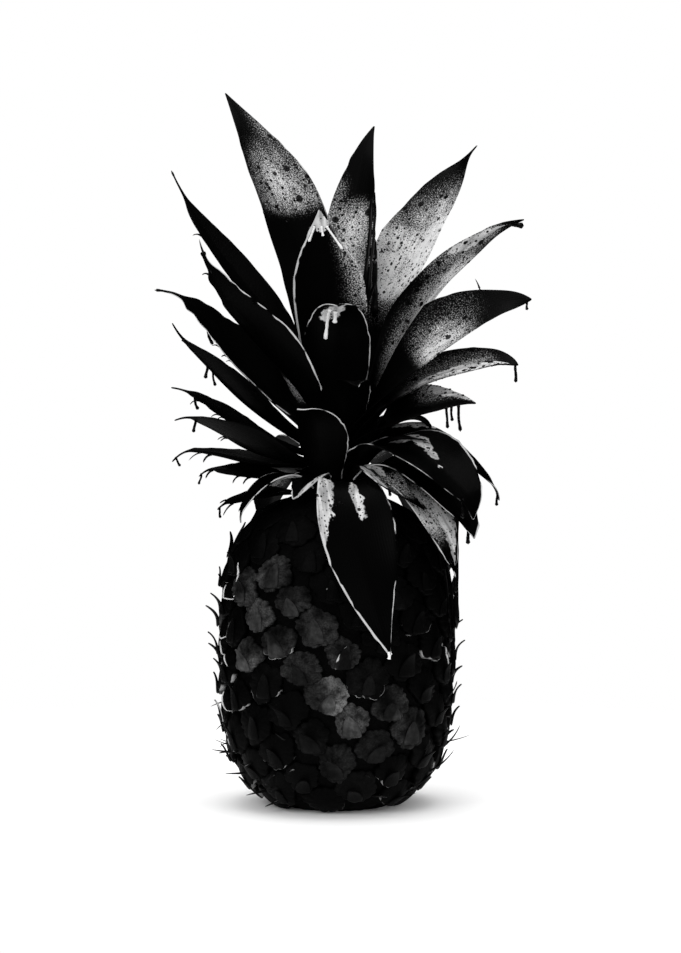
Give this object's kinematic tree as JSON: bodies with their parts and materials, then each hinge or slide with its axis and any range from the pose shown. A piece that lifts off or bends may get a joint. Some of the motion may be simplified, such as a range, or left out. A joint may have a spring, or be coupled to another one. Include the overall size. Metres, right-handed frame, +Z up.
{
  "type": "pineapple",
  "caption": "Whole pineapple standing on its cut base: a barrel of pointed eyes under a full crown of long curving leaves, in a black painted finish with pale sprayed patches.",
  "frame": {"origin": "centre of the flat cut base, on the surface that the fruit stands on", "axes": "+Z up along the fruit to the crown; -Y is the front of the fruit; +X is its right seen from the front"},
  "size_m": [0.1918, 0.1509, 0.3663],
  "materials": {
    "fruit_skin": "eyes and bracts under black paint, satin, worn to dark grey on the raised eyes",
    "cut_stalk": "dry fibrous cut end",
    "crown_stem": "matt black paint over leaf scars",
    "leaf": "black lacquer over ribbed leaf, with pale grey sprayed patches, speckles and runs"
  },
  "bodies": {
    "root": {"fruit_body": "fruit_skin", "cut_stalk": "cut_stalk", "crown_stem": "crown_stem", "hanging_leaf_front": "leaf", "hanging_leaf_left_short": "leaf", "hanging_leaf_right": "leaf", "hanging_leaf_back": "leaf", "hanging_leaf_left": "leaf", "hanging_leaf_back_right": "leaf", "hanging_leaf_far_right": "leaf", "hanging_leaf_back_left": "leaf", "hanging_leaf_front_left": "leaf", "arching_leaf_front": "leaf", "arching_leaf_front_right": "leaf", "arching_leaf_left": "leaf", "arching_leaf_back": "leaf", "arching_leaf_back_right": "leaf", "arching_leaf_right": "leaf", "arching_leaf_back_left": "leaf", "arching_leaf_far_left": "leaf", "arching_leaf_far_right": "leaf", "arching_leaf_front_left": "leaf", "spreading_leaf_back_right": "leaf", "spreading_leaf_front_right": "leaf", "spreading_leaf_back": "leaf", "spreading_leaf_far_back": "leaf", "spreading_leaf_left": "leaf", "spreading_leaf_right": "leaf", "spreading_leaf_back_left": "leaf", "spreading_leaf_front_left": "leaf", "spreading_leaf_front": "leaf", "rising_leaf_right": "leaf", "rising_leaf_back": "leaf", "rising_leaf_left": "leaf", "rising_leaf_back_left": "leaf", "rising_leaf_back_right": "leaf", "rising_leaf_front_left": "leaf", "rising_leaf_front": "leaf", "tall_leaf_left": "leaf", "tall_leaf_right": "leaf", "tall_leaf_front": "leaf", "tall_leaf_back_left": "leaf", "tall_leaf_back": "leaf", "heart_leaf_right": "leaf", "heart_leaf_left": "leaf", "heart_leaf_back": "leaf"}
  },
  "joints": []
}
